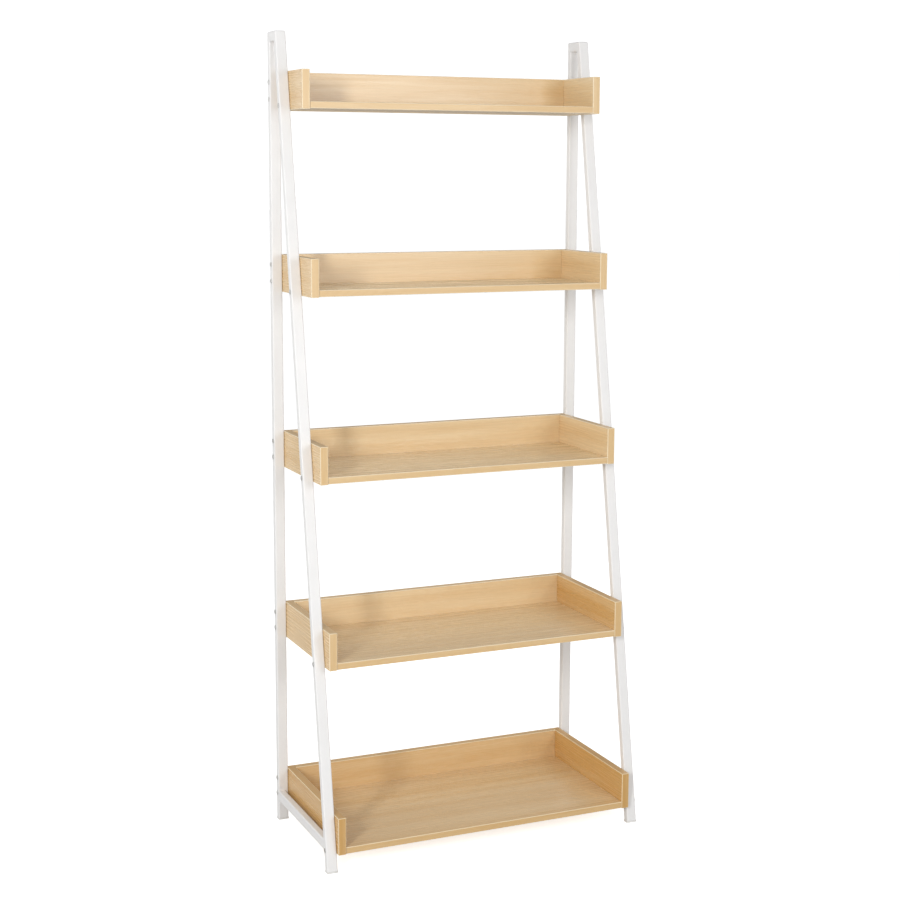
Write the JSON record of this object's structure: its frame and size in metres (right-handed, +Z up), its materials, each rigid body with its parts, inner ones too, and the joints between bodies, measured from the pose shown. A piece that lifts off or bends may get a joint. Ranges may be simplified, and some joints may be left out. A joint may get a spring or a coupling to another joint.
{
  "type": "ladder shelf",
  "caption": "Free-standing ladder shelf: white steel side frames with a sloping front leg carry open-fronted beech-look trays that get shallower towards the top.",
  "frame": {"origin": "centre of the footprint, on the floor", "axes": "+Z up, +X to the right seen from the front, the open front of the trays towards -Y"},
  "size_m": [0.7706, 0.3608, 1.81],
  "materials": {
    "white_powder_coat": "satin white powder coat on steel tube",
    "foot_plastic": "moulded white plastic, fine matt texture",
    "beech_board": "melamine-faced particle board with a beech print and matching edge band, satin",
    "zinc_plated_steel": "bright zinc-plated connector screws"
  },
  "bodies": {
    "root": {"left_rear_leg": "white_powder_coat", "left_front_leg": "white_powder_coat", "left_bottom_rail": "white_powder_coat", "left_rear_foot": "foot_plastic", "left_front_foot": "foot_plastic", "right_rear_leg": "white_powder_coat", "right_front_leg": "white_powder_coat", "right_bottom_rail": "white_powder_coat", "right_rear_foot": "foot_plastic", "right_front_foot": "foot_plastic", "tier_1_bottom_board": "beech_board", "tier_1_back_board": "beech_board", "tier_1_left_side_board": "beech_board", "tier_1_right_side_board": "beech_board", "tier_1_left_rear_upper_screw": "zinc_plated_steel", "tier_1_left_rear_lower_screw": "zinc_plated_steel", "tier_1_left_front_screw": "zinc_plated_steel", "tier_1_right_rear_upper_screw": "zinc_plated_steel", "tier_1_right_rear_lower_screw": "zinc_plated_steel", "tier_1_right_front_screw": "zinc_plated_steel", "tier_2_bottom_board": "beech_board", "tier_2_back_board": "beech_board", "tier_2_left_side_board": "beech_board", "tier_2_right_side_board": "beech_board", "tier_2_left_rear_upper_screw": "zinc_plated_steel", "tier_2_left_rear_lower_screw": "zinc_plated_steel", "tier_2_left_front_screw": "zinc_plated_steel", "tier_2_right_rear_upper_screw": "zinc_plated_steel", "tier_2_right_rear_lower_screw": "zinc_plated_steel", "tier_2_right_front_screw": "zinc_plated_steel", "tier_3_bottom_board": "beech_board", "tier_3_back_board": "beech_board", "tier_3_left_side_board": "beech_board", "tier_3_right_side_board": "beech_board", "tier_3_left_rear_upper_screw": "zinc_plated_steel", "tier_3_left_rear_lower_screw": "zinc_plated_steel", "tier_3_left_front_screw": "zinc_plated_steel", "tier_3_right_rear_upper_screw": "zinc_plated_steel", "tier_3_right_rear_lower_screw": "zinc_plated_steel", "tier_3_right_front_screw": "zinc_plated_steel", "tier_4_bottom_board": "beech_board", "tier_4_back_board": "beech_board", "tier_4_left_side_board": "beech_board", "tier_4_right_side_board": "beech_board", "tier_4_left_rear_upper_screw": "zinc_plated_steel", "tier_4_left_rear_lower_screw": "zinc_plated_steel", "tier_4_left_front_screw": "zinc_plated_steel", "tier_4_right_rear_upper_screw": "zinc_plated_steel", "tier_4_right_rear_lower_screw": "zinc_plated_steel", "tier_4_right_front_screw": "zinc_plated_steel", "tier_5_bottom_board": "beech_board", "tier_5_back_board": "beech_board", "tier_5_left_side_board": "beech_board", "tier_5_right_side_board": "beech_board", "tier_5_left_rear_upper_screw": "zinc_plated_steel", "tier_5_left_rear_lower_screw": "zinc_plated_steel", "tier_5_left_front_screw": "zinc_plated_steel", "tier_5_right_rear_upper_screw": "zinc_plated_steel", "tier_5_right_rear_lower_screw": "zinc_plated_steel", "tier_5_right_front_screw": "zinc_plated_steel"}
  },
  "joints": []
}
